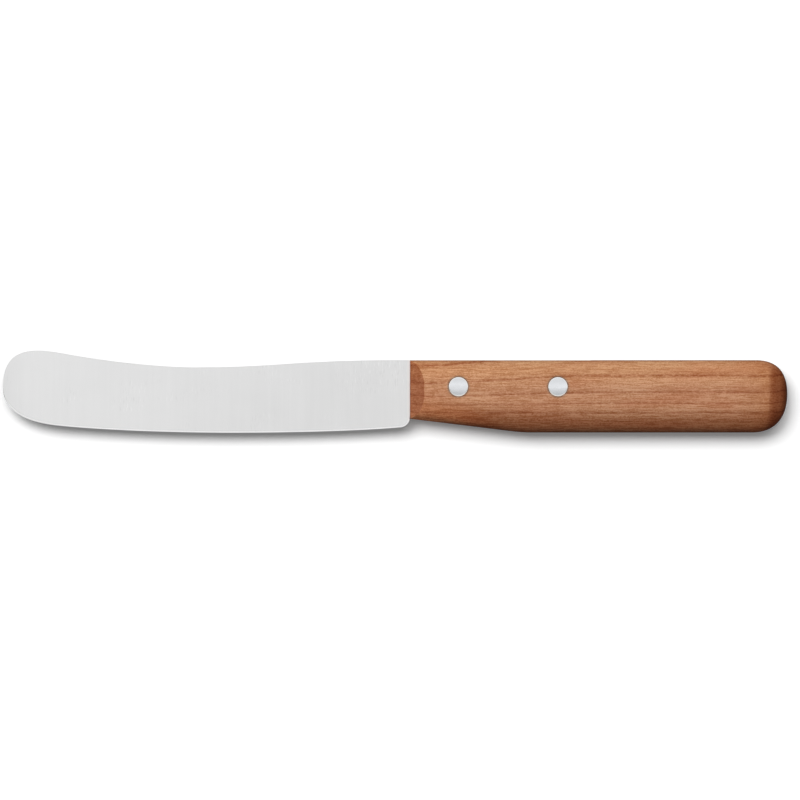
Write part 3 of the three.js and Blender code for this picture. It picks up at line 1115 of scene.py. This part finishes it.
@dataclass
class Rivet:
    """A press rivet of two halves, with heads that are ground flush with the handle."""

    handle: Handle
    place: str
    reach: float
    drop: float = RIVET_DROP
    head_diameter: float = 5.6 * MM
    head_depth: float = 2.0 * MM
    barrel_diameter: float = 4.0 * MM
    bore_diameter: float = 2.4 * MM
    bore_end_gap: float = 0.3 * MM
    clearance: float = 0.06 * MM
    crown: float = 0.12 * MM
    rim_width: float = 0.2 * MM
    rim_slope: float = math.radians(20)
    mouth_ease: float = 0.08 * MM
    overcut: float = 1.0 * MM
    turn_steps: int = 96
    head_rings: int = 12

    def __post_init__(self) -> None:
        """Works out the radii and levels that halves and tools share."""
        self.half = self.handle.thickness / 2
        self.seat = self.half - self.head_depth
        self.head_under = self.seat + self.clearance
        self.tool_end = self.half + self.overcut
        self.head_radius = self.head_diameter / 2
        self.barrel_radius = self.barrel_diameter / 2
        self.bore_radius = self.bore_diameter / 2
        self.shaft_radius = self.barrel_radius + self.clearance

    def turned(self, name: str, profile: Sequence[Point], side: Side = Side.UPPER) -> Piece:
        """Turns a piece, bends both its ends to the handle's surface, and stands it on the rivet's axis.

        Args:
            name: The piece's name, without the rivet's place.
            profile: Radius and height of each corner, with the head up.
            side: The side that its head comes to.

        Returns:
            The piece in the maker's frame.
        """
        shape = Shape()
        shape.turned(profile, self.turn_steps)
        level = self.half - self.head_depth / 2
        for vert in shape.bm.verts:
            x, y, z = vert.co.x + self.reach, vert.co.y - self.drop, vert.co.z
            fall = self.handle.surface_height(x, y) - self.half if abs(z) > level else 0.0
            vert.co = (x, y, side.value * (z + math.copysign(fall, -z)))
        return shape.finished(f"{self.place}_{name}")

    def head(self) -> list[Point]:
        """Draws the outside of a head, from its underside to its middle.

        Returns:
            Radius and height of its points.
        """
        rim = self.half - self.crown - self.rim_width * math.tan(self.rim_slope)
        flat = self.head_radius - self.rim_width
        shares = evenly(1.0, 0.0, self.head_rings)
        crown = [(flat * share, self.half - self.crown * share**2) for share in shares]
        return [(self.head_radius, self.head_under), (self.head_radius, rim), *crown, (0.0, self.half)]

    def tube(self) -> Piece:
        """Makes the hollow half, with its head on the lower side.

        Returns:
            The half in the maker's frame.
        """
        seat, bore, barrel = self.seat, self.bore_radius, self.barrel_radius
        inside = [(0.0, seat), (bore, seat), (bore, -seat)]
        outside = [(barrel, -seat), (barrel, self.head_under)]
        return self.turned("rivet_barrel", [*inside, *outside, *self.head()], Side.LOWER)

    def post(self) -> Piece:
        """Makes the solid half, with its head on the upper side and its post in the barrel.

        Returns:
            The half in the maker's frame.
        """
        pin = self.bore_radius - self.clearance
        end = self.bore_end_gap - self.seat
        return self.turned("rivet_pin", [(0.0, end), (pin, end), (pin, self.head_under), *self.head()])

    def shaft_tool(self) -> Piece:
        """The tool for the straight hole that the barrel passes through."""
        radius, end = self.shaft_radius, self.tool_end
        return self.turned("shaft_tool", [(0.0, -end), (radius, -end), (radius, end), (0.0, end)])

    def hole_tool(self) -> Piece:
        """Makes the tool for the stepped hole in the handle, with a seat and an eased mouth at both ends.

        Returns:
            The tool.
        """
        radius = self.head_radius + self.clearance
        ease = self.mouth_ease
        wide = radius + 2 * ease
        upper = [(self.shaft_radius, self.seat), (radius, self.seat), (radius, self.half - ease)]
        upper += [(wide, self.half + ease), (wide, self.tool_end), (0.0, self.tool_end)]
        lower = [(across, -up) for across, up in reversed(upper)]
        return self.turned("hole_tool", [*lower, *upper])

    def build(self) -> dict[str, Piece]:
        """Makes both halves.

        Returns:
            The halves in the part's frame, by the CAD node that each stands for.
        """
        halves = {"tube": self.tube(), "post": self.post()}
        origin = self.handle.origin
        return {f"{self.place}_rivet_{half}": placed(piece, origin) for half, piece in halves.items()}

    def dress(self, halves: dict[str, Piece], material: bpy.types.Material) -> None:
        """Gives the halves their finish, and their place in the part.

        Args:
            halves: The halves by the CAD node that each stands for.
            material: Their finish.
        """
        for node, piece in halves.items():
            piece.data.materials.append(material)
            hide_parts(node)
            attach(piece, BODY)


@dataclass
class Blade:
    """The steel: a thin ground blade with a turned-up round tip, and a flat half tang."""

    origin: Vector
    name: str = "ground_blade"
    length: float = 117.0 * MM
    waist_reach: float = 62.0 * MM
    waist_drop: float = 2.1 * MM
    shoulder_setback: float = 18.0 * MM
    shoulder_rise: float = 1.8 * MM
    shoulder_slope: float = 0.187
    nose_drop: float = 7.6 * MM
    toe_setback: float = 16.0 * MM
    toe_drop: float = 18.8 * MM
    toe_slope: float = 0.1
    belly_reach: float = 50.4 * MM
    belly_drop: float = 20.85 * MM
    heel_drop: float = 19.3 * MM
    heel_slope: float = 0.088
    heel_radius: float = 2.8 * MM
    waist_holds: Pair = (0.56, 0.41)
    shoulder_holds: Pair = (0.19, 0.4)
    crown_holds: Pair = (0.5, 1.25)
    belly_holds: Pair = (0.32, 0.18)
    toe_holds: Pair = (0.41, 0.22)
    chin_holds: Pair = (0.46, 0.72)
    thickness: float = 1.4 * MM
    tip_thickness: float = 0.7 * MM
    bevel_width: float = 0.33 * MM
    bevel_thickness: float = 0.3 * MM
    edge_thickness: float = 0.06 * MM
    spine_ease: float = 0.06 * MM
    grind_roundness: float = 1.4
    grind_runout: float = 12.0 * MM
    worked_edge_share: float = 0.3
    tang_relief: float = 0.05 * MM
    tang_length: float = 52.0 * MM
    tang_height: float = 15.2 * MM
    tang_end_radius: float = 5.0 * MM
    tang_sink: float = 0.1 * MM
    tang_root: float = 2.0 * MM
    slot_clearance: float = 0.1 * MM
    overcut: float = 1.0 * MM
    heel_steps: int = 14
    blade_steps: int = 110
    tip_steps: int = 44
    face_steps: int = 16
    tang_end_steps: int = 12

    def __post_init__(self) -> None:
        """Draws the outlines."""
        self.nose = (-self.length, -self.nose_drop)
        self.spine = self.spine_line()
        self.edge = self.edge_line()

    def spine_line(self) -> Outline:
        """Draws the blade's back, from the handle to the nose.

        Returns:
            The outline.
        """
        waist = (-self.waist_reach, -self.waist_drop)
        shoulder = (self.shoulder_setback - self.length, self.shoulder_rise)
        return Outline(
            eased((0, 0), waist, self.waist_holds),
            eased(waist, shoulder, self.shoulder_holds, (0, -self.shoulder_slope)),
            eased(shoulder, self.nose, self.crown_holds, (-self.shoulder_slope, math.inf)),
        )

    def edge_line(self) -> Outline:
        """Draws the blade's cutting edge, from the heel to the nose.

        Returns:
            The outline.
        """
        heel = (-self.heel_radius, -self.heel_drop)
        belly = (-self.belly_reach, -self.belly_drop)
        toe = (self.toe_setback - self.length, -self.toe_drop)
        return Outline(
            Arc((-self.heel_radius, self.heel_radius - self.heel_drop), self.heel_radius, 0, -math.pi / 2),
            eased(heel, belly, self.belly_holds, (self.heel_slope, 0)),
            eased(belly, toe, self.toe_holds, (0, -self.toe_slope)),
            eased(toe, self.nose, self.chin_holds, (-self.toe_slope, math.inf)),
        )

    def section(self, x: float) -> list[Vector]:
        """Draws one section of the ground blade.

        Args:
            x: The place along the blade.

        Returns:
            Points up the lower face from edge to spine, and down the upper one.
        """
        top = self.spine.height_at(x)
        bottom = self.edge.height_at(x)
        room = self.worked_edge_share * (top - bottom)
        ease = min(self.spine_ease, room)
        bevel = min(self.bevel_width, room)
        full = lerp(self.thickness, self.tip_thickness, -x / self.length) / 2
        runout = smoothstep(-x, 0, self.grind_runout)
        bevel_half = lerp(full, self.bevel_thickness / 2, runout)
        edge_half = lerp(full, self.edge_thickness / 2, runout) - self.spine_ease * (1 - runout)
        face = [(top, full - self.spine_ease)]
        for i in range(self.face_steps + 1):
            share = i / self.face_steps
            y = lerp(top - ease, bottom + bevel, share)
            face.append((y, lerp(full, bevel_half, share**self.grind_roundness)))
        face.append((bottom, edge_half))
        upper = [Vector((x, y, z)) for y, z in face]
        lower = [Vector((x, y, -z)) for y, z in reversed(face)]
        return [*lower, *upper]

    def places(self) -> list[float]:
        """Chooses where the sections stand along the blade.

        Returns:
            The places, from the handle to the nose.
        """
        tip_start = -self.length + self.shoulder_setback
        heel = crowded(-self.heel_radius, 0, self.heel_steps)[::-1]
        run = evenly(-self.heel_radius, tip_start, self.blade_steps)[1:]
        return [0.0, *heel, *run, *crowded(tip_start, -self.length, self.tip_steps)]

    def ground(self) -> Piece:
        """Shapes the blade in front of the handle, with both its finishes.

        Returns:
            The blade without its tang.
        """
        finishes = [SatinSteel(), HonedEdge()]
        shape = Shape()
        rings = shape.loft([self.section(x) for x in self.places()])
        last = len(rings[0]) - 1
        for edge, crease in ((0, 1), (last, last - 1)):
            for ring, ahead in zip(rings, rings[1:]):
                bevel = shape.bm.faces.get([ring[edge], ring[crease], ahead[crease], ahead[edge]])
                bevel.material_index = len(finishes) - 1
                shape.bm.edges.get((ring[crease], ahead[crease])).smooth = False
        blank = shape.finished(self.name)
        for finish in finishes:
            blank.data.materials.append(finish.material(self.origin))
        return blank

    def tang_plate(self, name: str, front: float, top: float, clearance: float) -> Piece:
        """Makes the flat tang, or with some clearance all round, the tool for its slot.

        Args:
            name: The object's name.
            front: Where it begins.
            top: Its upper edge.
            clearance: What is added to it all round.

        Returns:
            The plate in the maker's frame.
        """
        end = self.tang_length + clearance
        bottom = -self.tang_height - clearance
        half = self.thickness / 2 - self.tang_relief + clearance
        radius = self.tang_end_radius + clearance
        corner = Arc((end - radius, bottom + radius), radius, -math.pi / 2, 0)
        rounding = [corner.at(i / self.tang_end_steps) for i in range(self.tang_end_steps + 1)]
        outline = [(front, bottom), *rounding, (end, top), (front, top)]
        shape = Shape()
        shape.loft([[Vector((x, y, level)) for x, y in outline] for level in (-half, half)])
        return shape.finished(name)

    def slot_tool(self) -> Piece:
        """The tool for the tang's slot in the handle."""
        return self.tang_plate("slot_tool", -self.overcut, self.overcut, self.slot_clearance)

    def build(self, holes: Iterable[Piece]) -> Piece:
        """Makes the blade with its tang, in the part's frame.

        Args:
            holes: The tools for the rivet holes in the tang.

        Returns:
            The blade.
        """
        tang = self.tang_plate("tang", -self.tang_root, -self.tang_sink, 0.0)
        tools = [(tang, Cut.JOIN), *((hole, Cut.REMOVE) for hole in holes)]
        return placed(worked(self.ground(), tools), self.origin)

    def dress(self, piece: Piece) -> None:
        """Gives the blade its place in the part.

        Args:
            piece: The blade, which has its finishes from the start.
        """
        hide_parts("blade")
        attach(piece, BODY)


@dataclass(frozen=True)
class Studio:
    """The white table, the light and the camera straight above."""

    view_width: float = 230.1 * MM
    view_centre: Point = (1.40 * MM, -2.38 * MM)
    lens: float = 800.0
    sensor: float = 36.0
    table_size: float = 6.0
    table_white: float = 0.96
    table_lift: float = 0.12
    table_bounce: float = 0.15
    key_angle: float = math.radians(34)
    keys: tuple[tuple[str, tuple[float, float, float], float], ...] = (
        ("left_key_light", (-0.36, 0.385, 0.85), 2.0),
        ("right_key_light", (0.04, 0.385, 0.922), 1.2),
    )
    fill: float = 0.15
    ceiling: tuple[Point, ...] = (
        (0.0, 0.60), (0.24, 1.05), (0.36, 1.10), (0.42, 0.72), (0.453, 0.62),
        (0.495, 1.08), (0.58, 1.08), (0.68, 0.94), (0.80, 1.05), (1.0, 0.85),
    )

    def table(self) -> None:
        """Makes the table top, white to the camera, which keeps the knife's shadow."""
        shape = Shape()
        bmesh.ops.create_grid(shape.bm, x_segments=1, y_segments=1, size=self.table_size / 2)
        top = shape.finished("table_top")
        material = bpy.data.materials.new("white_table")
        material.use_nodes = True
        nodes = Nodes(material.node_tree)
        seen = nodes.add("LightPath").outputs["Is Camera Ray"]
        white = nodes.mix(seen, grey(self.table_bounce), grey(self.table_white))
        diffuse = nodes.add("BsdfDiffuse", {"Color": white})
        glow = nodes.add("Emission", {"Strength": nodes.times(seen, self.table_lift)})
        both = nodes.add("AddShader", {0: diffuse.outputs[0], 1: glow.outputs[0]})
        nodes.add("OutputMaterial", {"Surface": both.outputs[0]})
        top.data.materials.append(material)

    def dome(self) -> None:
        """Makes the room's soft light: white to the camera, a bright ceiling to reflections, a low fill."""
        world = bpy.data.worlds.new("studio")
        bpy.context.scene.world = world
        world.use_nodes = True
        nodes = Nodes(world.node_tree)
        _, y, z = nodes.axes(nodes.add("TexCoord").outputs["Generated"])
        half_turns = nodes.times(nodes.math("ARCTAN2", y, z), 1 / math.pi)
        ceiling = nodes.ramp(nodes.plus(half_turns, 0.5), self.ceiling)
        path = nodes.add("LightPath").outputs
        light = nodes.mix(path["Is Glossy Ray"], grey(self.fill), ceiling)
        light = nodes.mix(path["Is Camera Ray"], light, WHITE)
        background = nodes.add("Background", {"Color": light})
        nodes.add("OutputWorld", {"Surface": background.outputs[0]})

    def key(self, name: str, direction: Sequence[float], strength: float) -> None:
        """Makes one of the broad soft lights, which shine from the image's top.

        Args:
            name: The light's name.
            direction: Where it shines from.
            strength: How bright it is.
        """
        lamp = bpy.data.lights.new(name, "SUN")
        lamp.energy = strength
        lamp.angle = self.key_angle
        key = bpy.data.objects.new(name, lamp)
        key.rotation_mode = "QUATERNION"
        key.rotation_quaternion = Vector(direction).to_track_quat("Z", "Y")
        key.visible_glossy = False
        bpy.context.scene.collection.objects.link(key)

    def camera(self, height: float) -> None:
        """Puts the camera straight above the knife.

        Args:
            height: The height of the knife's middle plane, where the view has its width.
        """
        data = bpy.data.cameras.new("camera")
        data.lens = self.lens
        data.sensor_width = self.sensor
        camera = bpy.data.objects.new("camera", data)
        distance = self.lens * self.view_width / self.sensor
        camera.location = (*self.view_centre, height + distance)
        bpy.context.scene.collection.objects.link(camera)
        bpy.context.scene.camera = camera

    def build(self, height: float) -> None:
        """Sets everything up.

        Args:
            height: The height of the knife's middle plane.
        """
        bpy.context.scene.view_settings.view_transform = "Standard"
        self.table()
        self.dome()
        for name, direction, strength in self.keys:
            self.key(name, direction, strength)
        self.camera(height)


def report(piece: Piece) -> None:
    """Logs a piece and its number of faces."""
    LOG.info("%s: %d faces", piece.name, len(piece.data.polygons))


def main() -> None:
    """Builds the knife and the studio."""
    logging.basicConfig(level=logging.INFO)
    low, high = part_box("handle")
    origin = Vector((low.x - Handle.front_gap, high.y, (low.z + high.z) / 2))
    handle = Handle(origin)
    blade = Blade(origin)
    rivets = [Rivet(handle, place, reach) for place, reach in zip(("front", "rear"), RIVET_REACHES)]

    steel = blade.build([rivet.shaft_tool() for rivet in rivets])
    blade.dress(steel)
    report(steel)

    wood = handle.build(blade.slot_tool(), [rivet.hole_tool() for rivet in rivets])
    handle.dress(wood)
    report(wood)

    finish = GroundAluminium().material(origin)
    for rivet in rivets:
        halves = rivet.build()
        rivet.dress(halves, finish)
        for piece in halves.values():
            report(piece)

    Studio().build(origin.z)


if __name__ == "__main__":
    main()
